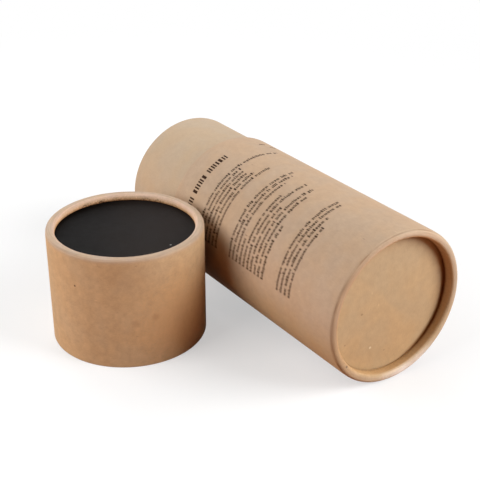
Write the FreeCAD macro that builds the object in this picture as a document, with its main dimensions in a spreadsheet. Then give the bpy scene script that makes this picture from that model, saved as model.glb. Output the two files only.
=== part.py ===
import FreeCAD
import Part
import Sketcher
import math
import os

# A kraft paper tube box with its lid off. The tube lies on its side along X, curled end at +X and
# open neck at -X. The lid stands beside it on its open edge. Z is up, and the origin is at the
# middle of the floor under both. Millimetres.
#
# Five pieces: three lengths of wound board tube and two board discs. A tube's end is rolled
# inwards into a round rim, and the cut edge of that roll bears on the disc behind it.

# name, size, what it sets
SIZES = [
    ("tube_dia", 84.0, "outside of the tube and of the lid"),
    ("body_length", 147.0, "outer tube, from the crest of its rolled rim to its step"),
    ("neck_rise", 46.5, "how far the neck stands out past the step"),
    ("neck_wall", 1.8, "board of the inner tube"),
    ("lid_height", 63.5, "lid, from its open edge to the crest of its rolled rim"),
    ("lid_wall", 2.0, "board of the lid"),
    ("lid_play", 0.2, "gap between the neck and the lid's wall, all round"),
    ("base_fold", 0.4, "gap left inside the roll of the tube's rim"),
    ("lid_fold", 0.8, "gap left inside the roll of the lid's rim"),
    ("base_recess", 6.0, "base disc behind the crest of its rim"),
    ("lid_recess", 4.1, "black disc behind the crest of its rim"),
    ("base_thick", 2.0, "board of the base disc"),
    ("top_thick", 2.0, "board of the black disc"),
    ("disc_play", 0.1, "gap round each disc"),
    ("rim_lean", 45.0, "degrees the board leans over, in two bends, either side of its roll"),
    ("edge_wear", 0.3, "wear on the outer corner of each cut end"),
    ("lip_wear", 0.5, "wear where a rolled rim's cut edge meets its disc"),
    ("lid_back", 121.5, "lid's axis behind the tube's curled end"),
    ("lid_gap", 0.9, "gap between the lid and the tube beside it"),
]

# Radii worked out from the sizes above. The outer tube's wall is the lid's board and the lid's
# play together, so it closes on the neck that it is glued to.
OUTER_R = "Sizes.tube_dia / 2"
LID_BORE_R = "Sizes.tube_dia / 2 - Sizes.lid_wall"
NECK_R = "Sizes.tube_dia / 2 - Sizes.lid_wall - Sizes.lid_play"
NECK_BORE_R = NECK_R + " - Sizes.neck_wall"
BODY_WALL = "Sizes.lid_wall + Sizes.lid_play"
BASE_TOP = "Sizes.base_recess + Sizes.base_thick"

# A rolled rim is the wall, the gap in its fold and the wall again.
BASE_RIM = "(2 * (" + BODY_WALL + ") + Sizes.base_fold)"
LID_RIM = "(2 * Sizes.lid_wall + Sizes.lid_fold)"

# How far the two axes stand either side of the middle, and where the curled end is.
AXIS_OUT = "(Sizes.tube_dia + Sizes.lid_gap) / 2"
END_X = "(Sizes.body_length + Sizes.neck_rise) / 2"

START = 1
END = 2
CENTRE = 3
ORIGIN = -1

doc = FreeCAD.newDocument("paper_tube_box")


def make_sheet():
    """The driving sizes, one row each: name, number, meaning."""
    sheet = doc.addObject("Spreadsheet::Sheet", "Sizes")
    for row, (name, size, meaning) in enumerate(SIZES, start=1):
        sheet.set("A%d" % row, name)
        sheet.set("B%d" % row, str(size))
        sheet.set("C%d" % row, meaning)
        sheet.setAlias("B%d" % row, name)
    doc.recompute()
    return sheet


def value(expression):
    """An expression's number now, for a sketch's first guess."""
    return float(sheet.evalExpression(expression.replace("Sizes.", "")))


def make_body(label):
    body = doc.addObject("PartDesign::Body", label)
    body.Label = label
    return body


def make_sketch(body, plane, name):
    """An empty sketch on one of the body's own origin planes."""
    sketch = body.newObject("Sketcher::SketchObject", name)
    support = [item for item in body.Origin.OriginFeatures if item.Role == plane][0]
    sketch.AttachmentSupport = [(support, "")]
    sketch.MapMode = "FlatFace"
    return sketch


def bind(sketch, name, constraint, expression):
    """Add a dimension to the sketch, name it and bind it to the sheet."""
    index = sketch.addConstraint(constraint)
    sketch.renameConstraint(index, name)
    sketch.setExpression("Constraints." + name, expression)


def ring_edges(shape, radius, height):
    """Names of the round edges of this radius at this height on the body's own axis."""
    names = []
    for number, edge in enumerate(shape.Edges, start=1):
        curve = edge.Curve
        if not isinstance(curve, Part.Circle):
            continue
        same_radius = abs(curve.Radius - radius) < 0.001
        same_height = abs(curve.Center.z - height) < 0.001
        if same_radius and same_height:
            names.append("Edge%d" % number)
    return names


def wear_edge(body, name, size, radius, height):
    """Take the corner off the round edge of this radius at this height."""
    doc.recompute()
    base = body.Tip
    edges = ring_edges(base.Shape, value(radius), value(height))
    chamfer = body.newObject("PartDesign::Chamfer", name)
    chamfer.Base = (base, edges)
    chamfer.setExpression("Size", size)
    doc.recompute()


def rolled_tube(label, length, wall, rim, recess):
    """A tube whose lower end is rolled inwards. The board leans over in two bends, rolls round the
    crest, leans back in two more and becomes a lip that runs up inside as far as the disc, with a
    narrow fold left behind it. The crest is at the body's origin and the mouth is at +Z."""
    body = make_body(label)
    sketch = make_sketch(body, "XZ_Plane", label + "_section")

    outer = value(OUTER_R)
    board = value(wall)
    roll = value(rim) / 2
    middle = outer - roll
    lip = middle - roll
    top = value(length)
    seat = value(recess)

    # The bends stand just outside the roll's own circle, and the leaning boards touch it.
    lean = math.radians(value("Sizes.rim_lean"))
    bend = roll / math.cos(lean / 4)
    low_bend_x = bend * math.cos(0.75 * lean)
    low_bend = roll - bend * math.sin(0.75 * lean)
    high_bend = roll - bend * math.sin(0.25 * lean)
    roll_end_x = roll * math.cos(lean)
    roll_end = roll - roll * math.sin(lean)

    corners = [(middle + roll_end_x, roll_end), (middle + low_bend_x, low_bend),
               (outer, high_bend), (outer, top), (outer - board, top), (outer - board, board),
               (lip + board, board), (lip + board, seat), (lip, seat), (lip, high_bend),
               (middle - low_bend_x, low_bend), (middle - roll_end_x, roll_end)]
    sides = []
    for (x1, y1), (x2, y2) in zip(corners, corners[1:]):
        side = Part.LineSegment(FreeCAD.Vector(x1, y1, 0), FreeCAD.Vector(x2, y2, 0))
        sides.append(sketch.addGeometry(side))
    out_low, out_high, outside, mouth, inside, fold = sides[:6]
    lip_back, lip_end, lip_front, in_high, in_low = sides[6:]
    circle = Part.Circle(FreeCAD.Vector(middle, roll, 0), FreeCAD.Vector(0, 0, 1), roll)
    arc = Part.ArcOfCircle(circle, math.pi + lean, 2 * math.pi - lean)
    crest = sketch.addGeometry(arc)

    for upright in (outside, inside, lip_back, lip_front):
        sketch.addConstraint(Sketcher.Constraint("Vertical", upright))
    for level in (mouth, fold, lip_end):
        sketch.addConstraint(Sketcher.Constraint("Horizontal", level))
    for first, second in zip(sides, sides[1:]):
        sketch.addConstraint(Sketcher.Constraint("Coincident", first, END, second, START))
    sketch.addConstraint(Sketcher.Constraint("Tangent", crest, END, out_low, START))
    sketch.addConstraint(Sketcher.Constraint("Tangent", in_low, END, crest, START))
    sketch.addConstraint(Sketcher.Constraint("Tangent", out_high, crest))
    sketch.addConstraint(Sketcher.Constraint("Tangent", in_high, crest))

    def across(name, first, first_end, second, second_end, size, expression):
        constraint = Sketcher.Constraint(
            "DistanceX", first, first_end, second, second_end, size)
        bind(sketch, name, constraint, expression)

    def up(name, line, line_end, size, expression):
        constraint = Sketcher.Constraint("DistanceY", ORIGIN, START, line, line_end, size)
        bind(sketch, name, constraint, expression)

    across("outer_radius", ORIGIN, START, outside, END, outer, OUTER_R)
    across("wall_board", mouth, END, mouth, START, board, wall)
    across("lip_board", lip_end, END, lip_end, START, board, wall)
    across("rim_width", lip_front, START, outside, START, 2 * roll, rim)
    across("roll_middle", crest, CENTRE, outside, START, roll, rim + " / 2")
    up("roll_height", crest, CENTRE, roll, rim + " / 2")
    up("tube_length", outside, END, top, length)
    up("lip_depth", lip_end, START, seat, recess)
    up("fold_top", fold, START, board, wall)
    roll_end_height = rim + " / 2 * (1 - sin(Sizes.rim_lean * 1 deg))"
    up("roll_start", crest, END, roll_end, roll_end_height)
    up("roll_end", crest, START, roll_end, roll_end_height)
    low_bend_height = (rim + " / 2 * (1 - sin(0.75 * Sizes.rim_lean * 1 deg)"
                       " / cos(0.25 * Sizes.rim_lean * 1 deg))")
    up("bend_out", out_high, START, low_bend, low_bend_height)
    up("bend_in", in_high, END, low_bend, low_bend_height)
    bind(sketch, "roll_radius", Sketcher.Constraint("Radius", crest, roll), rim + " / 2")

    turn = body.newObject("PartDesign::Revolution", label + "_turn")
    turn.Profile = sketch
    turn.ReferenceAxis = (sketch, ["V_Axis"])
    turn.Angle = 360
    return body


def flat_ring(label, outer, bore, start, length):
    """A plain tube, or a disc where bore is None, that starts at a height above the crest."""
    body = make_body(label)
    sketch = make_sketch(body, "XY_Plane", label + "_section")
    sketch.setExpression("AttachmentOffset.Base.z", start)
    radii = [("outer_radius", outer)]
    if bore is not None:
        radii.append(("bore_radius", bore))
    for name, radius in radii:
        centre = FreeCAD.Vector(0, 0, 0)
        circle = Part.Circle(centre, FreeCAD.Vector(0, 0, 1), value(radius))
        index = sketch.addGeometry(circle)
        sketch.addConstraint(Sketcher.Constraint("Coincident", index, CENTRE, ORIGIN, START))
        size = Sketcher.Constraint("Radius", index, value(radius))
        bind(sketch, name, size, radius)
    pad = body.newObject("PartDesign::Pad", label + "_pad")
    pad.Profile = sketch
    pad.setExpression("Length", length)
    return body


def place(body, x, y, z, axis, angle):
    """Turn the body, then bind its origin to the sheet."""
    rotation = FreeCAD.Rotation(axis, angle)
    body.Placement = FreeCAD.Placement(FreeCAD.Vector(0, 0, 0), rotation)
    for name, expression in (("x", x), ("y", y), ("z", z)):
        body.setExpression("Placement.Base." + name, expression)


def lay_down(body):
    """The tube's pieces: on their side, curled end towards +X, mouth towards -X."""
    place(body, END_X, AXIS_OUT, OUTER_R, FreeCAD.Vector(0, 1, 0), -90)


def stand_up(body):
    """The lid's pieces: mouth down on the floor, rolled rim upwards, beside the tube."""
    place(body, END_X + " - Sizes.lid_back", "-" + AXIS_OUT, "Sizes.lid_height",
          FreeCAD.Vector(1, 0, 0), 180)


sheet = make_sheet()

# body_tube: the printed outer tube. Its rolled rim closes the far end over the base disc, and its
# plain mouth is the step that the lid's edge comes down to.
body_tube = rolled_tube("body_tube", "Sizes.body_length", BODY_WALL, BASE_RIM, "Sizes.base_recess")
wear_edge(body_tube, "step_wear", "Sizes.edge_wear", OUTER_R, "Sizes.body_length")
wear_edge(body_tube, "base_lip_wear", "Sizes.lip_wear", OUTER_R + " - " + BASE_RIM,
          "Sizes.base_recess")
lay_down(body_tube)

# base_disc: held between the rolled rim's lip and the end of the neck tube.
base_disc = flat_ring("base_disc", NECK_R + " - Sizes.disc_play", None, "Sizes.base_recess",
                      "Sizes.base_thick")
lay_down(base_disc)

# neck_tube: the inner tube, glued inside the outer one from the base disc to the mouth. What
# stands out past the step is the neck.
MOUTH = "Sizes.body_length + Sizes.neck_rise"
neck_tube = flat_ring("neck_tube", NECK_R, NECK_BORE_R, BASE_TOP, MOUTH + " - (" + BASE_TOP + ")")
wear_edge(neck_tube, "mouth_wear", "Sizes.edge_wear", NECK_R, MOUTH)
lay_down(neck_tube)

# lid_tube: a short tube with the same rolled rim; its open edge is what the lid stands on.
lid_tube = rolled_tube("lid_tube", "Sizes.lid_height", "Sizes.lid_wall", LID_RIM, "Sizes.lid_recess")
wear_edge(lid_tube, "foot_wear", "Sizes.edge_wear", OUTER_R, "Sizes.lid_height")
wear_edge(lid_tube, "lid_lip_wear", "Sizes.lip_wear", OUTER_R + " - " + LID_RIM,
          "Sizes.lid_recess")
stand_up(lid_tube)

# lid_disc: the black board disc, glued up against the lid's rolled lip.
lid_disc = flat_ring("lid_disc", LID_BORE_R + " - Sizes.disc_play", None, "Sizes.lid_recess",
                     "Sizes.top_thick")
stand_up(lid_disc)

doc.recompute()
for item in doc.Objects:
    if "Invalid" in item.State or "Error" in item.State:
        raise RuntimeError("%s failed: %s" % (item.Label, item.State))

pieces = [body_tube, base_disc, neck_tube, lid_tube, lid_disc]
for piece in pieces:
    if piece.Shape.isNull() or not piece.Shape.isValid():
        raise RuntimeError("%s has no valid solid" % piece.Label)

os.makedirs("parts", exist_ok=True)
for piece in pieces:
    piece.Shape.exportStep(os.path.join("parts", piece.Label + ".step"))
    box = piece.Shape.optimalBoundingBox()
    low = "low corner %.2f %.2f %.2f" % (box.XMin, box.YMin, box.ZMin)
    high = "high corner %.2f %.2f %.2f" % (box.XMax, box.YMax, box.ZMax)
    print("%-10s %8.0f mm3  %s  %s" % (piece.Label, piece.Shape.Volume, low, high))
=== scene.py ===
import bmesh
import bpy
import math
import random
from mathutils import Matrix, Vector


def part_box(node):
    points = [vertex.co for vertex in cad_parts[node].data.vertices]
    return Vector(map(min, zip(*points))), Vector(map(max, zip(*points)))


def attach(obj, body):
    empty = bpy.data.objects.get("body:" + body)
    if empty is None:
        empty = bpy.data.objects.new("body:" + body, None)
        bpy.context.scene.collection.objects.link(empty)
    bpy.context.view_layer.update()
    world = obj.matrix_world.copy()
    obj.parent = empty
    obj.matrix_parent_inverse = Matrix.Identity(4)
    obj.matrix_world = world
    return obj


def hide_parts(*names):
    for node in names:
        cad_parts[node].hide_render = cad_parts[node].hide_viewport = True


# A kraft paper tube box with its lid off: the tube lies on its side along X with its rolled end
# towards +X, and the lid stands beside it with its rolled rim up. Metres, in the frame's own axes.

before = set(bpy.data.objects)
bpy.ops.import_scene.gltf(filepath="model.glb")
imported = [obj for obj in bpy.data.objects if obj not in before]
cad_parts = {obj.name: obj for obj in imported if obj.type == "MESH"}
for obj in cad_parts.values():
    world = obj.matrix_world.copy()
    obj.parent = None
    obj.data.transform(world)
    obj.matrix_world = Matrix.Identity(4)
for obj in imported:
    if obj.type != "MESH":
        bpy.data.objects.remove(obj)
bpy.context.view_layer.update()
bpy.ops.object.select_all(action="DESELECT")


# Inner tube. A length of wound brown board, glued inside the outer tube from the base disc up. What
# stands out past the step is the neck that the lid slides over, and its mouth is a plain cut edge.

neck_low, neck_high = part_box("neck_tube")
neck_middle = (neck_low + neck_high) / 2
neck_radius = (neck_high.z - neck_low.z) / 2
neck_length = neck_high.x - neck_low.x

NECK_WALL = 0.0018
NECK_SIDES = 192
EDGE_WEAR = 0.0003
EDGE_STEPS = 3
EDGE_ANGLE = math.radians(60)
SMOOTH_ANGLE = math.radians(35)

NECK_PAPER = (0.484, 0.359, 0.241, 1.0)
TUBE_WEB = (500.0, 1900.0, 1900.0)
RAW_BOARD = (0.45, 0.335, 0.235, 1.0)
GLUE_LINE = (0.29, 0.19, 0.12, 1.0)
PAPER_SHINE = 0.12
PAPER_RELIEF = 0.00005

# The paper's grain, in patches to a metre, and how far each part of it shades or lifts the paper.
CLOUDS = 24.0
MOTTLES = 260.0
TOOTH = 2400.0
HUES = 55.0
HUE_CUT = (0.35, 0.65)
WARM_HUE = (1.015, 0.99, 0.962, 1.0)
COOL_HUE = (0.988, 1.005, 1.035, 1.0)
DULL_SWING = 0.16
FIBRE_RELIEF = 0.6
TOOTH_RELIEF = 0.35
MOTTLE_RELIEF = 0.7

# Flecks of bark and of pulp: size in cells, the share of cells that hold none, and their shade.
FLECK_CELLS = 0.22
FLECK_CORE = 0.04
BARK_AND_PULP = ((0.15, 0.9, 0.5), (0.13, 0.92, 1.35))

# A cut end's plies: half a ply's thickness, how far the glue line reaches from its middle, how far
# the plies wander, in how many waves to a metre, and how far back from the cut they show.
HALF_PLY = 0.00022
PLY_GLUE = (0.00002, 0.00009)
PLY_WANDER = 0.00012
PLY_WAVES = 300.0
CUT_DEPTH = (0.00012, 0.00038)
GLUE_RELIEF = 0.8


def finish_shape(kind, **settings):
    """Give the piece a modifier and apply it."""
    bpy.ops.object.modifier_add(type=kind)
    modifier = bpy.context.object.modifiers[-1]
    for setting, value in settings.items():
        setattr(modifier, setting, value)
    bpy.ops.object.modifier_apply(modifier=modifier.name)


def wear_cut_edges():
    """Round the square corners of the board's cut ends, and shade the rest smooth."""
    finish_shape("BEVEL", width=EDGE_WEAR, segments=EDGE_STEPS, limit_method="ANGLE",
                 angle_limit=EDGE_ANGLE)
    bpy.ops.object.shade_smooth_by_angle(angle=SMOOTH_ANGLE)


bpy.ops.mesh.primitive_cylinder_add(vertices=NECK_SIDES, radius=neck_radius, depth=neck_length,
                                    end_fill_type="NOTHING", location=neck_middle,
                                    rotation=(0.0, math.pi / 2, 0.0))
inner_tube = bpy.context.object
inner_tube.name = "inner_tube"
bpy.ops.object.transform_apply(location=True, rotation=True, scale=True)
finish_shape("SOLIDIFY", thickness=NECK_WALL, offset=-1.0)
wear_cut_edges()


def node(tree, kind, feeds, **settings):
    """Place one node, set it, and feed its sockets with values or links."""
    placed = tree.nodes.new("ShaderNode" + kind)
    for setting, value in settings.items():
        setattr(placed, setting, value)
    for socket, source in feeds.items():
        if isinstance(source, bpy.types.NodeSocket):
            tree.links.new(source, placed.inputs[socket])
        else:
            placed.inputs[socket].default_value = source
    return placed.outputs


def apply_effect(tree, effect, **feeds):
    """Place a shared effect and feed its named inputs."""
    return node(tree, "Group", feeds, node_tree=effect)


def maths(tree, operation, first, second=0.0, third=0.0):
    """One step of arithmetic."""
    return node(tree, "Math", {0: first, 1: second, 2: third}, operation=operation)[0]


def vector(tree, operation, first, second, output=0):
    """One step with places or directions."""
    return node(tree, "VectorMath", {0: first, 1: second}, operation=operation)[output]


def all_of(tree, *shares):
    """Multiply shares together: 1 only where every one of them is 1."""
    product = shares[0]
    for share in shares[1:]:
        product = maths(tree, "MULTIPLY", product, share)
    return product


def sway(tree, pattern, amount, level):
    """Move a level up and down as a pattern leaves its middle."""
    return maths(tree, "MULTIPLY_ADD", maths(tree, "SUBTRACT", pattern, 0.5), amount, level)


def ramp(tree, value, start, end):
    """1 at the start and 0 at the end, with soft shoulders."""
    return node(tree, "MapRange", {"Value": value, "From Min": start, "From Max": end,
                                   "To Min": 1.0, "To Max": 0.0},
                interpolation_type="SMOOTHSTEP")[0]


def grain(tree, place, scale, detail=2.0, roughness=0.5):
    """Cloudy noise from 0 to 1; the scale is patches to a metre."""
    return node(tree, "TexNoise", {"Vector": place, "Scale": scale, "Detail": detail,
                                   "Roughness": roughness})[0]


def patches(tree, place, scale, cut, detail=2.0, roughness=0.5):
    """Soft-edged patches: 1 where the noise is at the cut's first level, 0 where at its second."""
    return ramp(tree, grain(tree, place, scale, detail, roughness), *cut)


def blend(tree, share, first, second):
    """Go from one colour over to another."""
    return node(tree, "Mix", {0: share, 6: first, 7: second}, data_type="RGBA")[2]


def tint(tree, share, color, dye):
    """Multiply a colour by another, as far as the share goes."""
    return node(tree, "Mix", {0: share, 6: color, 7: dye}, data_type="RGBA",
                blend_type="MULTIPLY")[2]


def scaled(tree, amounts, level):
    """A colour or a place, with all its amounts multiplied by the level."""
    return node(tree, "VectorMath", {0: amounts, "Scale": level}, operation="SCALE")[0]


def start_effect(name, takes, gives):
    """A shader node group with its named inputs and outputs."""
    effect = bpy.data.node_groups.new(name, "ShaderNodeTree")
    for socket, kind in takes:
        effect.interface.new_socket(name=socket, in_out="INPUT", socket_type="NodeSocket" + kind)
    for socket, kind in gives:
        effect.interface.new_socket(name=socket, in_out="OUTPUT", socket_type="NodeSocket" + kind)
    return effect, effect.nodes.new("NodeGroupInput").outputs


def end_effect(effect, gives):
    """Feed the group's named outputs."""
    group_out = effect.nodes.new("NodeGroupOutput")
    for socket, source in gives.items():
        effect.links.new(source, group_out.inputs[socket])


# Kraft paper: clouds of colour, a fine mottle, fibres drawn out along the web, and odd bark flecks.
# Web is the fibres to a metre on each axis, with the fewest along the web.
kraft, given = start_effect(
    "kraft_paper",
    (("Place", "Vector"), ("Paper", "Color"), ("Web", "Vector"), ("Cloud", "Float"),
     ("Mottle", "Float"), ("Fibre", "Float"), ("Fleck", "Float"), ("Roughness", "Float")),
    (("Color", "Color"), ("Roughness", "Float"), ("Height", "Float")))
web_place = vector(kraft, "MULTIPLY", given["Place"], given["Web"])
cloud = grain(kraft, given["Place"], CLOUDS)
mottle = grain(kraft, given["Place"], MOTTLES, detail=4.0, roughness=0.62)
fibre = grain(kraft, web_place, 1.0, detail=3.0, roughness=0.6)
tooth = grain(kraft, given["Place"], TOOTH, roughness=0.6)
swing = sway(kraft, cloud, given["Cloud"], 1.0)
swing = sway(kraft, mottle, given["Mottle"], swing)
swing = sway(kraft, fibre, given["Fibre"], swing)
brown = scaled(kraft, given["Paper"], swing)
hue = patches(kraft, given["Place"], HUES, HUE_CUT)
color = blend(kraft, hue, tint(kraft, 1.0, brown, WARM_HUE), tint(kraft, 1.0, brown, COOL_HUE))
cells = node(kraft, "TexVoronoi", {"Vector": web_place, "Scale": FLECK_CELLS})
lots = node(kraft, "SeparateColor", {0: cells["Color"]})
for number, (fleck_size, empty_share, level) in enumerate(BARK_AND_PULP):
    fleck = all_of(kraft, ramp(kraft, cells["Distance"], FLECK_CORE, fleck_size),
                   maths(kraft, "GREATER_THAN", lots[number], empty_share), given["Fleck"])
    color = blend(kraft, fleck, color, scaled(kraft, brown, level))
relief = maths(kraft, "MULTIPLY_ADD", fibre, FIBRE_RELIEF,
               maths(kraft, "MULTIPLY", tooth, TOOTH_RELIEF))
relief = maths(kraft, "MULTIPLY_ADD", mottle, MOTTLE_RELIEF, relief)
end_effect(kraft, {"Color": color, "Height": relief,
                   "Roughness": sway(kraft, mottle, DULL_SWING, given["Roughness"])})

# Where a place is on a round piece: how far back from one end, and how far out from its axis. Half
# is how far that end is from the piece's middle.
round_place, given = start_effect(
    "round_place", (("Place", "Vector"), ("Axis", "Vector"), ("Half", "Float")),
    (("Back", "Float"), ("Out", "Float")))
along = vector(round_place, "DOT_PRODUCT", given["Place"], given["Axis"], "Value")
on_axis = scaled(round_place, given["Axis"], along)
off_axis = vector(round_place, "SUBTRACT", given["Place"], on_axis)
end_effect(round_place, {
    "Back": maths(round_place, "SUBTRACT", given["Half"], along),
    "Out": node(round_place, "VectorMath", {0: off_axis}, operation="LENGTH")["Value"]})

# A cut end of the board: the plies it is wound from show as fine rings of raw, greyer brown.
cut_end, given = start_effect(
    "cut_end", (("Color", "Color"), ("Height", "Float"), ("Back", "Float"), ("Out", "Float"),
                ("Place", "Vector"), ("Raw", "Color"), ("Glue", "Color")),
    (("Color", "Color"), ("Height", "Float")))
wander = maths(cut_end, "MULTIPLY_ADD", grain(cut_end, given["Place"], PLY_WAVES), PLY_WANDER,
               given["Out"])
ring = ramp(cut_end, maths(cut_end, "PINGPONG", wander, HALF_PLY), *PLY_GLUE)
at_cut = ramp(cut_end, given["Back"], *CUT_DEPTH)
sunk = maths(cut_end, "MULTIPLY", ring, maths(cut_end, "MULTIPLY", at_cut, GLUE_RELIEF))
plies = blend(cut_end, ring, given["Raw"], given["Glue"])
end_effect(cut_end, {"Color": blend(cut_end, at_cut, given["Color"], plies),
                     "Height": maths(cut_end, "SUBTRACT", given["Height"], sunk)})


def new_paper(name, middle):
    """A material, its node tree, and the place on the piece measured from its middle."""
    paper = bpy.data.materials.new(name)
    paper.use_nodes = True
    tree = paper.node_tree
    here = node(tree, "TexCoord", {})["Object"]
    return paper, tree, node(tree, "Mapping", {"Vector": here, "Location": -middle})[0]


def finish_paper(tree, color, roughness, height, shine=PAPER_SHINE):
    """Feed the shader with the paper's colour, roughness and relief."""
    shader = tree.nodes["Principled BSDF"]
    shader.inputs["Specular IOR Level"].default_value = shine
    tree.links.new(color, shader.inputs["Base Color"])
    tree.links.new(roughness, shader.inputs["Roughness"])
    raised = node(tree, "Bump", {"Height": height, "Distance": PAPER_RELIEF})["Normal"]
    tree.links.new(raised, shader.inputs["Normal"])


def show_cut(tree, paper, place, back, out):
    """Lay the board's cut end over the paper, from how far back and how far out a place is."""
    return apply_effect(tree, cut_end, Color=paper["Color"], Height=paper["Height"], Place=place,
                        Back=back, Out=out, Raw=RAW_BOARD, Glue=GLUE_LINE)


neck_kraft, tree, place = new_paper("neck_kraft", neck_middle)
paper = apply_effect(tree, kraft, Place=place, Paper=NECK_PAPER, Web=TUBE_WEB,
                     Cloud=0.10, Mottle=0.16, Fibre=0.14, Fleck=0.5, Roughness=0.74)
at = apply_effect(tree, round_place, Place=place, Axis=(-1.0, 0.0, 0.0), Half=neck_length / 2)
mouth = show_cut(tree, paper, place, at["Back"], at["Out"])
finish_paper(tree, mouth["Color"], paper["Roughness"], mouth["Height"])

inner_tube.data.materials.append(neck_kraft)
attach(inner_tube, "tube")
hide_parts("neck_tube")
bpy.ops.object.select_all(action="DESELECT")


# Outer tube. Wound kraft board whose far end is rolled inwards into a round rim, with the cut edge
# of the roll bearing on the base disc. Its plain near end is the step that the lid closes down to.

tube_low, tube_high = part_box("body_tube")
base_low, base_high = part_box("base_disc")
tube_middle = (tube_low + tube_high) / 2
tube_radius = (tube_high.z - tube_low.z) / 2
tube_length = tube_high.x - tube_low.x
tube_wall = tube_radius - neck_radius
tube_recess = tube_high.x - base_high.x

# The rolled section: room for the ink, the gap inside the fold, how much of the roll is bent, in
# steps and with what roundness, and the wear on its lip. Then the cuts along the wall, the steps
# round it, how much of the roll sways, the sway's waves and depth, and what counts as one place.
INK_ROOM = 0.00003
TUBE_FOLD = 0.0004
ROLL_BEND = 0.98
ROLL_STEPS = 14
ROLL_PROFILE = 0.57
LIP_WEAR = 0.0005
LONG_CUTS = 60
ROUND_STEPS = 240
RIM_REACH = 1.05
RIM_WAVES = 0.018
RIM_SWAY = 0.0002
SAME_PLACE = 0.00002
SAME_POINT = 0.00001

TUBE_PAPER = (0.492, 0.346, 0.231, 1.0)
# Painted warm shade on the tube's underside: its paper there, and the heights it fades in over.
UNDERSIDE_SHADE_PAPER = (0.488, 0.325, 0.178, 1.0)
UNDERSIDE_SHADE_BAND = (-0.018, 0.005)
WORN_TUBE = (0.500, 0.400, 0.288, 1.0)
# Inside the roll the tube's paper is tinted deeper with painted shade, less so on the low side.
INSIDE_TUBE_SHADE = (1.0, 0.84, 0.62, 1.0)
LOW_INSIDE_TUBE_SHADE = (1.0, 0.93, 0.82, 1.0)
TORN_TUBE = (0.20, 0.12, 0.06, 1.0)

# Painted light and shade on the rim's rubbed crest: a pale painted highlight low down, and darker
# painted shade on either side. Then one stain a little behind its crest. For each: Y and Z of the
# centre, radius, colour, and how much of it shows.
RIM_LIGHT_AND_SHADE = ((0.0102, -0.0383, 0.022, (0.82, 0.78, 0.74, 1.0), 1.0),
            (-0.0383, 0.0060, 0.056, (0.345, 0.215, 0.120, 1.0), 1.0),
            (0.0400, 0.0040, 0.042, (0.390, 0.312, 0.228, 1.0), 0.9))
RIM_STAINS = ((-0.0311, -0.0230, 0.0011, (0.10, 0.075, 0.06, 1.0), 0.8),)
STAIN_BACK = 0.0005

# Painted shade in the seam where the lip meets the base disc: its tint where it is faint and where
# it is deep, the side it is deep on, and the distances along that side over which it deepens.
FAINT_SEAM_SHADE = (0.85, 0.82, 0.78, 1.0)
DEEP_SEAM_SHADE = (0.42, 0.20, 0.06, 1.0)
DEEP_SHADE_SIDE = (0.0, 0.966, -0.259)
DEEP_SHADE_BAND = (0.034, 0.014)

# Rubbing on the crest: how far behind it the rub is full, its patches to a metre, how much they
# add, and the least of it.
RUB_BACK = 0.0004
RUB_PATCHES = 130.0
RUB_UNEVEN = 0.9
RUB_LEAST = 0.25

# Lines drawn round the roll: how far behind the crest they are full, their patches to a metre
# across and along them, the noise's middle, and how far they shade and lift the paper.
LINES_BACK = 0.0008
LINES_ACROSS = 1400.0
LINES_ALONG = 75.0
LINES_MIDDLE = 0.47
LINES_CONTRAST = 0.55
LINES_HEIGHT = 2.0

# The crease: how far behind the crest it runs, in rolls, its half width, its tint and lift, the
# patches it breaks off in, and how near it keeps to the wall's outer face.
CREASE_BACK = 0.32
CREASE_WIDTH = 0.0005
CREASE_TINT = (0.6, 0.5, 0.42, 1.0)
CREASE_HEIGHT = -1.2
CREASE_BREAKS = 60.0
CREASE_CUT = (0.66, 0.4)
OUTER_FACE = (0.0007, 0.0014)

# Inside, so many rolls in from the outer face: the ridges' patches to a metre, and how far they
# shade and lift the paper. Then the rags' patches, and the heights over the lip's cut edge within
# which it is frayed and painted shade darkens the seam.
INSIDE_ROLLS = (1.8, 1.2)
RIDGES = 900.0
RIDGE_CONTRAST = 0.4
RIDGE_HEIGHT = 1.6
RAGS = 1100.0
RAG_CUT = (0.55, 0.46)
FRAY_BAND = (0.0008, 0.0030)
SEAM_SHADE_BAND = (0.0003, 0.0018)

# A spot: the patches to a metre that make its edge ragged, how much they add to the least distance
# that counts, and the share of its radius that is its full core.
SPOT_RAGS = 900.0
SPOT_UNEVEN = 0.9
SPOT_LEAST = 0.55
SPOT_CORE = 0.25


def pick(test):
    """In edit mode, select only the vertices that pass the test."""
    shell = bmesh.from_edit_mesh(bpy.context.object.data)
    bpy.ops.mesh.select_all(action="DESELECT")
    for vert in shell.verts:
        vert.select_set(test(vert.co))
    shell.select_flush(True)
    bmesh.update_edit_mesh(bpy.context.object.data)


def near(value, target):
    """Whether two lengths are the same, but for rounding."""
    return abs(value - target) < SAME_PLACE


def pull(x, z):
    """Extrude what is selected along the section."""
    bpy.ops.mesh.extrude_vertices_move(TRANSFORM_OT_translate={"value": (x, 0.0, z)})


rim_waves = bpy.data.textures.new("rim_waves", "CLOUDS")
rim_waves.noise_scale = RIM_WAVES


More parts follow.
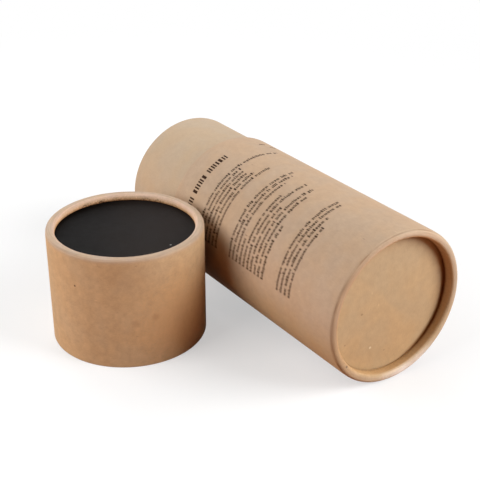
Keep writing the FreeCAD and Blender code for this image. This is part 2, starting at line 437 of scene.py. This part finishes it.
def rolled_tube(name, radius, wall, fold, recess, length):
    """Draw the tube's section with its crest at height 0, then spin it about Z. The board comes up
    the outside, rolls over, and comes down inside as a lip to the recess."""
    roll = wall + fold / 2
    lip = radius - 2 * roll
    bpy.ops.mesh.primitive_plane_add(size=1.0, location=(radius - roll, 0.0, -roll / 2),
                                     rotation=(math.pi / 2, 0.0, 0.0))
    tube = bpy.context.object
    tube.name = name
    tube.scale = (2 * roll, roll, 1.0)
    bpy.ops.object.transform_apply(location=True, rotation=True, scale=True)
    bpy.ops.object.mode_set(mode="EDIT")
    pick(lambda at: near(at.z, -roll))
    bpy.ops.mesh.delete(type="EDGE_FACE")
    pick(lambda at: near(at.z, 0.0))
    bpy.ops.mesh.bevel(offset=roll * ROLL_BEND, segments=ROLL_STEPS, profile=ROLL_PROFILE,
                       affect="VERTICES")

    pick(lambda at: near(at.x, radius) and near(at.z, -roll))
    pull(0.0, roll - length)
    pull(-wall, 0.0)
    pull(0.0, length - wall)
    pick(lambda at: near(at.x, lip) and near(at.z, -roll))
    pull(0.0, roll - recess)
    pull(wall, 0.0)
    pull(0.0, recess - wall)
    pick(lambda at: near(at.z, -wall) and lip + wall / 2 < at.x < radius - wall / 2)
    bpy.ops.mesh.edge_face_add()
    pick(lambda at: near(at.x, lip) and near(at.z, -recess))
    bpy.ops.mesh.bevel(offset=LIP_WEAR, segments=EDGE_STEPS, affect="VERTICES")

    pick(lambda at: near(at.x, radius) and at.z < -roll + SAME_PLACE)
    bpy.ops.mesh.subdivide(number_cuts=LONG_CUTS)
    bpy.ops.mesh.select_all(action="SELECT")
    bpy.ops.mesh.spin(steps=ROUND_STEPS, angle=2 * math.pi, center=(0, 0, 0), axis=(0, 0, 1))
    bpy.ops.mesh.select_all(action="SELECT")
    bpy.ops.mesh.remove_doubles(threshold=SAME_POINT)
    bpy.ops.mesh.normals_make_consistent(inside=False)
    pick(lambda at: at.z > -roll * RIM_REACH)
    bpy.ops.object.vertex_group_add()
    bpy.ops.object.vertex_group_assign()
    bpy.ops.object.mode_set(mode="OBJECT")
    wear_cut_edges()
    finish_shape("DISPLACE", texture=rim_waves, strength=RIM_SWAY, mid_level=1.0,
                 vertex_group=tube.vertex_groups[0].name)
    return tube


outer_tube = rolled_tube("outer_tube", tube_radius - INK_ROOM, tube_wall, TUBE_FOLD, tube_recess,
                         tube_length)
outer_tube.rotation_euler = (0.0, math.pi / 2, 0.0)
outer_tube.location = (tube_high.x, tube_middle.y, tube_middle.z)
bpy.ops.object.transform_apply(location=True, rotation=True, scale=True)

# A rolled rim: the crest is rubbed, the paper is drawn into fine lines round the roll, and a thin
# crease runs where the wall turns into it. Inside, the paper is tinted with painted shade or
# painted light, and short ridges and fraying lead down to the seam, which painted shade darkens.
# The rubbed colour can carry painted light and shade too. Reach is how far back the rub goes, and
# Rub, Crease and Fray are how much of each shows.
rim_wear, given = start_effect(
    "rim_wear", (("Color", "Color"), ("Height", "Float"), ("Place", "Vector"), ("Back", "Float"),
                 ("Out", "Float"), ("Radius", "Float"), ("Roll", "Float"), ("Recess", "Float"),
                 ("Worn", "Color"), ("Rub", "Float"), ("Reach", "Float"), ("Crease", "Float"),
                 ("Inside", "Color"), ("Torn", "Color"), ("Fray", "Float"), ("Seam", "Color")),
    (("Color", "Color"), ("Height", "Float")))
patchy = maths(rim_wear, "MULTIPLY_ADD",
               grain(rim_wear, given["Place"], RUB_PATCHES, detail=3.0), RUB_UNEVEN, RUB_LEAST)
crest = ramp(rim_wear, given["Back"], RUB_BACK, given["Reach"])
rubbed = all_of(rim_wear, crest, patchy, given["Rub"])
color = blend(rim_wear, rubbed, given["Color"], given["Worn"])

on_section = node(rim_wear, "CombineXYZ", {"X": given["Out"], "Y": given["Back"]})[0]
lines_place = vector(rim_wear, "ADD", scaled(rim_wear, on_section, LINES_ACROSS),
                     scaled(rim_wear, given["Place"], LINES_ALONG))
lines = grain(rim_wear, lines_place, 1.0, detail=3.0, roughness=0.6)
drawn = all_of(rim_wear, ramp(rim_wear, given["Back"], LINES_BACK, given["Roll"]),
               maths(rim_wear, "SUBTRACT", lines, LINES_MIDDLE))
color = scaled(rim_wear, color, maths(rim_wear, "MULTIPLY_ADD", drawn, LINES_CONTRAST, 1.0))

outside = ramp(rim_wear, maths(rim_wear, "SUBTRACT", given["Radius"], given["Out"]), *OUTER_FACE)
from_crease = maths(rim_wear, "ABSOLUTE", maths(rim_wear, "MULTIPLY_ADD", given["Roll"],
                                                -CREASE_BACK, given["Back"]))
broken = patches(rim_wear, given["Place"], CREASE_BREAKS, CREASE_CUT, detail=3.0)
creased = all_of(rim_wear, ramp(rim_wear, from_crease, 0.0, CREASE_WIDTH), outside, broken,
                 given["Crease"])
color = tint(rim_wear, creased, color, CREASE_TINT)

inside_band = [maths(rim_wear, "MULTIPLY_ADD", given["Roll"], -rolls, given["Radius"])
               for rolls in INSIDE_ROLLS]
inside = ramp(rim_wear, given["Out"], *inside_band)
# The Inside colour tints the inside of the roll: painted shade or painted light.
color = tint(rim_wear, inside, color, given["Inside"])
ridges = grain(rim_wear, given["Place"], RIDGES, detail=3.0, roughness=0.7)
ridged = all_of(rim_wear, inside, maths(rim_wear, "SUBTRACT", ridges, 0.5))
color = scaled(rim_wear, color, maths(rim_wear, "MULTIPLY_ADD", ridged, RIDGE_CONTRAST, 1.0))

from_lip = maths(rim_wear, "SUBTRACT", given["Recess"], given["Back"])
rags = patches(rim_wear, given["Place"], RAGS, RAG_CUT, detail=4.0, roughness=0.7)
frayed = all_of(rim_wear, ramp(rim_wear, from_lip, *FRAY_BAND), rags, given["Fray"], inside)
color = blend(rim_wear, frayed, color, given["Torn"])
# Painted shade darkens the seam at the foot of the lip.
seam = all_of(rim_wear, inside, ramp(rim_wear, from_lip, *SEAM_SHADE_BAND))
color = tint(rim_wear, seam, color, given["Seam"])

height = given["Height"]
for share, lift in ((ridged, RIDGE_HEIGHT), (drawn, LINES_HEIGHT), (creased, CREASE_HEIGHT)):
    height = maths(rim_wear, "MULTIPLY_ADD", share, lift, height)
end_effect(rim_wear, {"Color": color, "Height": height})

# A stain, smudge, speck, or patch of painted light or shade: 1 at its centre, with a
# ragged soft edge.
soft_spot, given = start_effect(
    "soft_spot", (("Place", "Vector"), ("Centre", "Vector"), ("Radius", "Float")),
    (("Mask", "Float"),))
away = vector(soft_spot, "DISTANCE", given["Place"], given["Centre"], "Value")
ragged = maths(soft_spot, "MULTIPLY_ADD",
               grain(soft_spot, given["Place"], SPOT_RAGS, detail=3.0), SPOT_UNEVEN, SPOT_LEAST)
core = maths(soft_spot, "MULTIPLY", given["Radius"], SPOT_CORE)
end_effect(soft_spot, {"Mask": ramp(soft_spot, maths(soft_spot, "MULTIPLY", away, ragged), core,
                                    given["Radius"])})


def spot_mask(tree, place, centre, radius):
    """1 in a spot's core, and 0 outside its ragged edge."""
    return apply_effect(tree, soft_spot, Place=place, Centre=centre, Radius=radius)["Mask"]


def spot(tree, color, place, centre, radius, spot_color, strength):
    """Lay one stain, speck, or patch of painted light or shade over the paper."""
    mask = spot_mask(tree, place, centre, radius)
    return blend(tree, maths(tree, "MULTIPLY", mask, strength), color, spot_color)


def seam_shade_side(tree, place):
    """1 on the side where the seam's painted shade is deep, and 0 where it is faint."""
    return ramp(tree, vector(tree, "DOT_PRODUCT", place, DEEP_SHADE_SIDE, "Value"), *DEEP_SHADE_BAND)


def low_share(tree, place, band):
    """1 below a band of heights over the piece's middle, and 0 above it."""
    return ramp(tree, node(tree, "SeparateXYZ", {"Vector": place})["Z"], *band)


tube_kraft, tree, place = new_paper("tube_kraft", tube_middle)
# Painted warm shade: the tube's paper turns warmer low down.
low = low_share(tree, place, UNDERSIDE_SHADE_BAND)
paper = apply_effect(tree, kraft, Place=place, Web=TUBE_WEB,
                     Paper=blend(tree, low, TUBE_PAPER, UNDERSIDE_SHADE_PAPER),
                     Cloud=0.10, Mottle=0.26, Fibre=0.16, Fleck=0.5, Roughness=0.74)
at = apply_effect(tree, round_place, Place=place, Axis=(1.0, 0.0, 0.0), Half=tube_length / 2)
# The crest's worn colour, with a painted highlight and painted shade laid over it.
crest_wear_and_light = WORN_TUBE
for y, z, radius, painted_tone, strength in RIM_LIGHT_AND_SHADE:
    crest_wear_and_light = spot(tree, crest_wear_and_light, place, (tube_length / 2, y, z), radius, painted_tone, strength)
rim = apply_effect(tree, rim_wear, Color=paper["Color"], Height=paper["Height"], Place=place,
                   Back=at["Back"], Out=at["Out"], Radius=tube_radius,
                   Roll=tube_wall + TUBE_FOLD / 2, Recess=tube_recess,
                   Worn=crest_wear_and_light, Rub=0.75, Reach=0.0022, Crease=0.8,
                   Inside=blend(tree, low, INSIDE_TUBE_SHADE, LOW_INSIDE_TUBE_SHADE), Torn=TORN_TUBE, Fray=0.25,
                   Seam=blend(tree, seam_shade_side(tree, place), FAINT_SEAM_SHADE, DEEP_SEAM_SHADE))
step = show_cut(tree, rim, place, maths(tree, "SUBTRACT", tube_length, at["Back"]), at["Out"])
color = step["Color"]
for y, z, radius, spot_color, strength in RIM_STAINS:
    color = spot(tree, color, place, (tube_length / 2 - STAIN_BACK, y, z), radius, spot_color, strength)
finish_paper(tree, color, paper["Roughness"], step["Height"])

outer_tube.data.materials.append(tube_kraft)
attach(outer_tube, "tube")
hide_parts("body_tube")
bpy.ops.object.select_all(action="DESELECT")


# Print. One dark brown ink on the outer tube's paper: a bold heading, three blocks of small lines
# and a short mark. Each word is a row of plain upright strokes, set at the real size and spacing.

STROKES_ROUND = 1413
STROKE_TURN = 2 * math.pi / STROKES_ROUND
TYPE_SEED = 11
INK_THICKNESS = 0.00002
INK_SHINE = 0.04
BROWN_INK = (0.020, 0.008, 0.004, 1.0)
SOAKED_INK = (0.045, 0.020, 0.010, 1.0)
SOAKED_PATCHES = 1500.0
SOAKED_CUT = (0.68, 0.42)
INK_DULL = 0.7
SOAKED_DULL = -0.2

# A letter is one or more strokes, each with its ink and the gap after it. Its first stroke keeps to
# the middle row (m), or reaches up (u) or down (d). A typeface is its letters, the fewest and most
# of them in a word, and the gap between words.
LETTER_REACHES = "mmmmmuuud"
SMALL_LETTERS = (((3, 2),), ((2, 1), (3, 3)), ((3, 3),), ((2, 1), (2, 1), (2, 3)), ((5, 3),),
                 ((4, 2), (2, 3)))
SMALL_TYPE = (SMALL_LETTERS, 2, 9, 6)
SMALL_HEIGHT = 0.0016
REACH_UP = 0.0006
REACH_DOWN = 0.00045
BOLD_LETTERS = (((5, 4), (5, 5)), ((6, 5),), ((9, 5),), ((5, 3), (5, 5)))
BOLD_TYPE = (BOLD_LETTERS, 20, 20, 0)
BOLD_HEIGHT = 0.004
MARK_HEIGHT = 0.0008

# Places in millimetres behind the crest, and angles in degrees from the top towards the lid.
LINE_PITCH = 3.32
LINE_START = 85.5
TEXT_BLOCKS = (
    (34.2, (30.0, 22.0, 6.5, 5.0)),
    (57.0, (44.0, 16.0, 6.5, 32.0, 5.5, 25.0, 63.0, 14.5, 4.5, 0.5)),
    (100.2, (8.5, 20.0, 23.0, 23.0, 22.0, -15.0)),
)
BOLD_BACK = 131.0
BOLD_WORDS = ((85.5, 60.5), (57.5, 41.5), (38.5, 18.0))
MARK_DASHES = ((133.0, -14.0, -20.0), (128.5, -20.0, -27.0))

typesetter = random.Random(TYPE_SEED)
printed = []


def ink_band(height):
    """A closed band of ink round the tube, one face to each stroke's least width."""
    bpy.ops.mesh.primitive_cylinder_add(vertices=STROKES_ROUND, radius=tube_radius, depth=height,
                                        end_fill_type="NOTHING", rotation=(0.0, math.pi / 2, 0.0),
                                        location=(0.0, tube_middle.y, tube_middle.z))
    bpy.ops.object.transform_apply(location=True, rotation=True, scale=True)
    return bpy.context.object


def print_from(band, back, wanted):
    """Copy the band to its place behind the crest, and keep the faces wanted: each is asked for
    by how far it is turned from the top, and how far it stands from the line's middle."""
    line = band.copy()
    line.data = band.data.copy()
    bpy.context.collection.objects.link(line)
    bpy.ops.object.select_all(action="DESELECT")
    line.select_set(True)
    bpy.context.view_layer.objects.active = line
    bpy.ops.object.mode_set(mode="EDIT")
    bpy.ops.mesh.select_mode(type="FACE")
    bpy.ops.mesh.select_all(action="DESELECT")
    faces = bmesh.from_edit_mesh(line.data)
    for face in faces.faces:
        middle = face.calc_center_median()
        turn = math.atan2(tube_middle.y - middle.y, middle.z - tube_middle.z)
        face.select_set(not wanted(turn, middle.x))
    bmesh.update_edit_mesh(line.data)
    bpy.ops.mesh.delete(type="FACE")
    bpy.ops.mesh.select_mode(type="VERT")
    bpy.ops.object.mode_set(mode="OBJECT")
    line.location.x = tube_high.x - back / 1000
    bpy.ops.object.transform_apply(location=True, rotation=True, scale=True)
    printed.append(line)


def set_words(start, end, letters, shortest, longest, word_gap):
    """Rows of strokes, thick and thin, from one angle to the other. Gives back a test of which
    faces of a band they ink."""
    inked = {}
    last = round(math.radians(start - end) / STROKE_TURN)
    number = 0
    while number < last:
        for letter in range(typesetter.randint(shortest, longest)):
            reach = typesetter.choice(LETTER_REACHES)
            for ink, gap in typesetter.choice(letters):
                for stroke in range(number, min(number + ink, last)):
                    inked[stroke] = reach
                reach = "m"
                number += ink + gap
        number += word_gap

    def in_words(turn, x):
        reach = inked.get(math.floor((math.radians(start) - turn) / STROKE_TURN))
        row = "u" if x < -SMALL_HEIGHT / 2 else "d" if x > SMALL_HEIGHT / 2 else "m"
        return reach is not None and row in ("m", reach)

    return in_words


bold_band = ink_band(BOLD_HEIGHT)
for word_start, word_end in BOLD_WORDS:
    print_from(bold_band, BOLD_BACK, set_words(word_start, word_end, *BOLD_TYPE))
bpy.data.objects.remove(bold_band)

small_band = ink_band(SMALL_HEIGHT)
bpy.ops.object.mode_set(mode="EDIT")
pick(lambda at: at.x < 0)
bpy.ops.mesh.extrude_edges_move(TRANSFORM_OT_translate={"value": (-REACH_UP, 0.0, 0.0)})
pick(lambda at: at.x > 0)
bpy.ops.mesh.extrude_edges_move(TRANSFORM_OT_translate={"value": (REACH_DOWN, 0.0, 0.0)})
bpy.ops.object.mode_set(mode="OBJECT")
for block_back, line_ends in TEXT_BLOCKS:
    for number, line_end in enumerate(line_ends):
        print_from(small_band, block_back + number * LINE_PITCH,
                   set_words(LINE_START, line_end, *SMALL_TYPE))
bpy.data.objects.remove(small_band)

mark_band = ink_band(MARK_HEIGHT)
for dash_back, dash_start, dash_end in MARK_DASHES:
    print_from(mark_band, dash_back,
               lambda turn, x: math.radians(dash_end) < turn < math.radians(dash_start))
bpy.data.objects.remove(mark_band)

for line in printed:
    line.select_set(True)
bpy.ops.object.join()
brown_print = bpy.context.object
brown_print.name = "brown_print"
finish_shape("SOLIDIFY", thickness=INK_THICKNESS, offset=-1.0)

ink, tree, place = new_paper("brown_ink", tube_middle)
soaked = patches(tree, place, SOAKED_PATCHES, SOAKED_CUT, detail=3.0, roughness=0.6)
dull = maths(tree, "MULTIPLY_ADD", soaked, SOAKED_DULL, INK_DULL)
finish_paper(tree, blend(tree, soaked, SOAKED_INK, BROWN_INK), dull, grain(tree, place, TOOTH),
             INK_SHINE)

brown_print.data.materials.append(ink)
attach(brown_print, "tube")
bpy.ops.object.select_all(action="DESELECT")


# Base disc. A round of the same kraft board, dropped in behind the rolled rim before the lip is
# pressed down on it. It is flat, so the modelled disc stays and takes this paper.

BASE_PAPER = (0.450, 0.327, 0.192, 1.0)
# Painted warm bounce light low on the disc, and the heights it fades in over.
LOW_BASE_BOUNCE = (0.448, 0.303, 0.164, 1.0)
LOW_BASE_BOUNCE_BAND = (-0.030, 0.018)
BARK = (0.16, 0.09, 0.045, 1.0)
PULP = (0.72, 0.58, 0.38, 1.0)

# How far in from the lip the seam's painted shade reaches on the disc, faint and deep.
FAINT_SHADE_WIDTH = (0.0001, 0.0010)
DEEP_SHADE_WIDTH = (0.0001, 0.0027)

# Specks on the face: Y and Z from its middle, radius, colour, and how much of it shows.
BASE_SPECKS = ((-0.0112, -0.0222, 0.0009, PULP, 0.8), (-0.0180, -0.0006, 0.0009, BARK, 0.5),
               (-0.0279, -0.0149, 0.0007, BARK, 0.5), (-0.0015, -0.0270, 0.0007, BARK, 0.4))

tube_lip = tube_radius - 2 * tube_wall - TUBE_FOLD
base_face = (base_high.x - base_low.x) / 2

base_kraft, tree, place = new_paper("base_kraft", (base_low + base_high) / 2)
# Painted warm bounce light: the disc's paper turns warmer low down.
low = low_share(tree, place, LOW_BASE_BOUNCE_BAND)
paper = apply_effect(tree, kraft, Place=place, Web=(1900.0, 1900.0, 600.0),
                     Paper=blend(tree, low, BASE_PAPER, LOW_BASE_BOUNCE),
                     Cloud=0.10, Mottle=0.31, Fibre=0.20, Fleck=0.7, Roughness=0.76)
at = apply_effect(tree, round_place, Place=place, Axis=(1.0, 0.0, 0.0), Half=0.0)
# Painted shade round the seam: faint all round, deeper and wider on one side.
from_lip = maths(tree, "SUBTRACT", tube_lip, at["Out"])
seam = ramp(tree, from_lip, *FAINT_SHADE_WIDTH)
gap = all_of(tree, seam_shade_side(tree, place), ramp(tree, from_lip, *DEEP_SHADE_WIDTH))
color = tint(tree, seam, paper["Color"], FAINT_SEAM_SHADE)
color = blend(tree, gap, color, tint(tree, 1.0, paper["Color"], DEEP_SEAM_SHADE))
for y, z, radius, spot_color, strength in BASE_SPECKS:
    color = spot(tree, color, place, (base_face, y, z), radius, spot_color, strength)
finish_paper(tree, color, paper["Roughness"], paper["Height"])
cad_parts["base_disc"].data.materials[0] = base_kraft


# Lid. The same wound board, rolled in at its top round the black disc and cut square at its open
# edge. Its wall is handled more than the tube's, so it is streaked, smudged and worn at the rim.

lid_low, lid_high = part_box("lid_tube")
disc_low, disc_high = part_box("lid_disc")
lid_middle = (lid_low + lid_high) / 2
lid_radius = (lid_high.x - lid_low.x) / 2
lid_height = lid_high.z - lid_low.z
lid_recess = lid_high.z - disc_high.z

LID_WALL = 0.002
LID_FOLD = 0.0008
lid_lip = lid_radius - 2 * LID_WALL - LID_FOLD

LID_PAPER = (0.558, 0.372, 0.208, 1.0)
WORN_LID = (0.450, 0.350, 0.286, 1.0)
# Inside the roll the lid's paper is tinted lighter with painted light.
INSIDE_LID_LIGHT = (1.32, 1.26, 1.30, 1.0)
LID_SEAM_SHADE = (0.60, 0.48, 0.38, 1.0)
TORN_LID = (0.15, 0.085, 0.045, 1.0)
LID_SMUDGE = (0.30, 0.17, 0.09, 1.0)
LID_SPECK = (0.06, 0.035, 0.02, 1.0)
WARM_BOUNCE_LIGHT = (0.76, 0.44, 0.20, 1.0)
LID_SHINE = 0.06

# Streaks down the wall: their patches to a metre on each axis, and how far they shade the paper.
STREAKS = (190.0, 190.0, 14.0)
STREAK_CONTRAST = 0.16

# Marks on the wall: height off the floor, degrees from +X towards +Y, radius, colour, and how much
# of it shows. The fourth darkens a broad patch reaching up to the rim, and the last is painted warm
# bounce light low down on the side towards +X. Then how far the whole lip is frayed, and its torn
# places: degrees, radius, and how far they are frayed.
LID_MARKS = ((0.0451, -67.6, 0.0008, LID_SPECK, 0.9), (0.0285, -9.5, 0.0030, LID_SMUDGE, 0.45),
             (0.0263, -23.9, 0.0032, LID_SMUDGE, 0.25), (0.0545, -29.0, 0.0170, LID_SMUDGE, 0.2),
             (0.0220, 14.0, 0.0340, WARM_BOUNCE_LIGHT, 0.5))
LIP_FRAY = 0.3
LIP_TEARS = ((104.0, 0.0045, 0.6), (122.0, 0.0052, 0.75), (133.0, 0.0050, 0.8),
             (159.0, 0.0045, 0.7), (172.0, 0.0064, 1.0), (186.0, 0.0058, 1.0))

lid_shell = rolled_tube("lid_shell", lid_radius, LID_WALL, LID_FOLD, lid_recess, lid_height)
lid_shell.location = (lid_middle.x, lid_middle.y, lid_high.z)
bpy.ops.object.transform_apply(location=True, rotation=True, scale=True)


def on_lid(height, turn, out):
    """A place on the lid, by its height, its angle, and how far out it is from the axis."""
    return (out * math.cos(math.radians(turn)), out * math.sin(math.radians(turn)),
            height - lid_height / 2)


lid_kraft, tree, place = new_paper("lid_kraft", lid_middle)
paper = apply_effect(tree, kraft, Place=place, Paper=LID_PAPER, Web=(700.0, 700.0, 1900.0),
                     Cloud=0.12, Mottle=0.40, Fibre=0.24, Fleck=0.5, Roughness=0.74)
streaks = grain(tree, vector(tree, "MULTIPLY", place, STREAKS), 1.0, detail=3.0)
streaked = scaled(tree, paper["Color"], sway(tree, streaks, STREAK_CONTRAST, 1.0))
at = apply_effect(tree, round_place, Place=place, Axis=(0.0, 0.0, 1.0), Half=lid_height / 2)
fray = LIP_FRAY
for turn, radius, strength in LIP_TEARS:
    torn = spot_mask(tree, place, on_lid(lid_height - lid_recess, turn, lid_lip), radius)
    fray = maths(tree, "MAXIMUM", fray, maths(tree, "MULTIPLY", torn, strength))
rim = apply_effect(tree, rim_wear, Color=streaked, Height=paper["Height"], Place=place,
                   Back=at["Back"], Out=at["Out"], Radius=lid_radius,
                   Roll=LID_WALL + LID_FOLD / 2, Recess=lid_recess,
                   Worn=WORN_LID, Rub=0.9, Reach=0.0034, Crease=0.3,
                   Inside=INSIDE_LID_LIGHT, Torn=TORN_LID, Fray=fray, Seam=LID_SEAM_SHADE)
edge = show_cut(tree, rim, place, maths(tree, "SUBTRACT", lid_height, at["Back"]), at["Out"])
color = edge["Color"]
for height, turn, radius, spot_color, strength in LID_MARKS:
    color = spot(tree, color, place, on_lid(height, turn, lid_radius), radius, spot_color, strength)
finish_paper(tree, color, paper["Roughness"], edge["Height"], LID_SHINE)

lid_shell.data.materials.append(lid_kraft)
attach(lid_shell, "lid")
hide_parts("lid_tube")
bpy.ops.object.select_all(action="DESELECT")


# Black disc. A round of board faced with matt black paper, set in behind the lid's rolled rim. It
# is flat, so the modelled disc stays. It carries painted light towards one side and the rim's
# painted shadow on the other, and has one pale speck.

BLACK_PAPER = (0.0104, 0.0077, 0.0067, 1.0)
BLACK_SHINE = 0.02

# Painted light and shadow: the side the light lies on, the band it fades over, what it adds, and
# the black's level in the painted shadow.
PAINTED_LIGHT_SIDE = (0.030, 0.043, 0.0)
PAINTED_LIGHT_BAND = (0.0011, -0.0014)
PAINTED_LIGHT_ADDS = 1.1
PAINTED_SHADOW_LEVEL = 0.12

# Specks on the face: X and Y from its middle, radius, colour, and how much of it shows.
DISC_SPECKS = ((0.0286, 0.0108, 0.0008, (0.30, 0.29, 0.27, 1.0), 0.8),)
disc_face = (disc_high.z - disc_low.z) / 2

black_paper, tree, place = new_paper("black_paper", (disc_low + disc_high) / 2)
paper = apply_effect(tree, kraft, Place=place, Paper=BLACK_PAPER, Web=(1500.0, 700.0, 1500.0),
                     Cloud=0.25, Mottle=0.25, Fibre=0.2, Fleck=0.15, Roughness=0.62)
# Painted light towards one side and the rim's painted shadow on the other.
painted_light = ramp(tree, vector(tree, "DOT_PRODUCT", place, PAINTED_LIGHT_SIDE, "Value"), *PAINTED_LIGHT_BAND)
color = scaled(tree, paper["Color"], maths(tree, "MULTIPLY_ADD", painted_light, PAINTED_LIGHT_ADDS, PAINTED_SHADOW_LEVEL))
for x, y, radius, spot_color, strength in DISC_SPECKS:
    color = spot(tree, color, place, (x, y, disc_face), radius, spot_color, strength)
finish_paper(tree, color, paper["Roughness"], paper["Height"], BLACK_SHINE)
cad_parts["lid_disc"].data.materials[0] = black_paper


# Studio. A pale floor that keeps the object's shadow, two soft boxes on the lid's side and one each
# on the other two sides. The camera looks down on the tube's rolled end and the lid's black top.

scene = bpy.context.scene
scene.view_settings.view_transform = "Standard"

CAMERA_AZIMUTH = 55.54
CAMERA_ELEVATION = 27.04
CAMERA_AIM = (-0.0085, 0.0202, 0.042)
CAMERA_DISTANCE = 0.5778
CAMERA_LENS = 77.71

# Soft boxes: azimuth and elevation in degrees, distance, width, height, and power in watts.
SOFT_BOXES = {
    "left_box": (-5.0, 25.0, 1.1, 0.7, 0.7, 8.4),
    "high_box": (-40.0, 40.0, 1.1, 0.7, 0.7, 4.3),
    "right_box": (130.0, 25.0, 1.1, 0.7, 0.7, 17.1),
    "back_box": (255.0, 20.0, 1.2, 1.0, 0.8, 10.0),
}


def look_from(viewer, azimuth, elevation, distance, aim):
    """Put a camera or a lamp on the compass round its aim, and turn it to face that."""
    azimuth = math.radians(azimuth)
    elevation = math.radians(elevation)
    viewer.rotation_euler = (math.pi / 2 - elevation, 0.0, azimuth)
    viewer.location = (aim[0] + distance * math.sin(azimuth) * math.cos(elevation),
                       aim[1] - distance * math.cos(azimuth) * math.cos(elevation),
                       aim[2] + distance * math.sin(elevation))
    scene.collection.objects.link(viewer)


camera_data = bpy.data.cameras.new("camera")
camera_data.lens = CAMERA_LENS
camera = bpy.data.objects.new("camera", camera_data)
look_from(camera, CAMERA_AZIMUTH, CAMERA_ELEVATION, CAMERA_DISTANCE, CAMERA_AIM)
scene.camera = camera

for name, (azimuth, elevation, distance, width, height, power) in SOFT_BOXES.items():
    lamp_data = bpy.data.lights.new(name, "AREA")
    lamp_data.shape = "RECTANGLE"
    lamp_data.size = width
    lamp_data.size_y = height
    lamp_data.energy = power
    look_from(bpy.data.objects.new(name, lamp_data), azimuth, elevation, distance,
              (0.0, 0.0, CAMERA_AIM[2]))


def seen_share(tree):
    """1 where the camera, a mirror or glass looks, 0 where light only bounces."""
    path = node(tree, "LightPath", {})
    seen = maths(tree, "MAXIMUM", path["Is Camera Ray"], path["Is Glossy Ray"])
    return maths(tree, "MAXIMUM", seen, path["Is Transmission Ray"])


WHITE = (1.0, 1.0, 1.0, 1.0)
WORLD_LEVEL = 0.01

# The floor: its size, its colour as it is seen and as it bounces light, how much of the object's
# shadow it keeps, and how far from the middle that starts and ends fading out to white.
FLOOR_SIZE = 8.0
FLOOR_SEEN = (0.93, 0.93, 0.93, 1.0)
FLOOR_BOUNCE = (0.35, 0.12, 0.04, 1.0)
SHADOW_SHARE = 0.5
SWEEP = (0.22, 0.62)

world = bpy.data.worlds.new("studio")
scene.world = world
world.use_nodes = True
tree = world.node_tree
tree.nodes.clear()
room_light = node(tree, "Background", {"Color": WHITE, "Strength": WORLD_LEVEL})[0]
white_room = node(tree, "Background", {"Color": WHITE, "Strength": 1.0})[0]
room = node(tree, "MixShader", {0: seen_share(tree), 1: room_light, 2: white_room})[0]
node(tree, "OutputWorld", {"Surface": room})

bpy.ops.mesh.primitive_plane_add(size=FLOOR_SIZE)
floor = bpy.context.object
floor.name = "floor"
floor_paint = bpy.data.materials.new("floor_paint")
floor_paint.use_nodes = True
tree = floor_paint.node_tree
tree.nodes.clear()
here = node(tree, "TexCoord", {})["Object"]
away = node(tree, "VectorMath", {0: here}, operation="LENGTH")["Value"]
near_share = maths(tree, "MULTIPLY", ramp(tree, away, *SWEEP), SHADOW_SHARE)
shadowed = node(tree, "BsdfDiffuse", {"Color": FLOOR_SEEN})[0]
backdrop = node(tree, "Emission", {"Color": WHITE, "Strength": 1.0})[0]
sweep = node(tree, "MixShader", {0: near_share, 1: backdrop, 2: shadowed})[0]
bounce = node(tree, "BsdfDiffuse", {"Color": FLOOR_BOUNCE})[0]
paint = node(tree, "MixShader", {0: seen_share(tree), 1: bounce, 2: sweep})[0]
node(tree, "OutputMaterial", {"Surface": paint})
floor.data.materials.append(floor_paint)
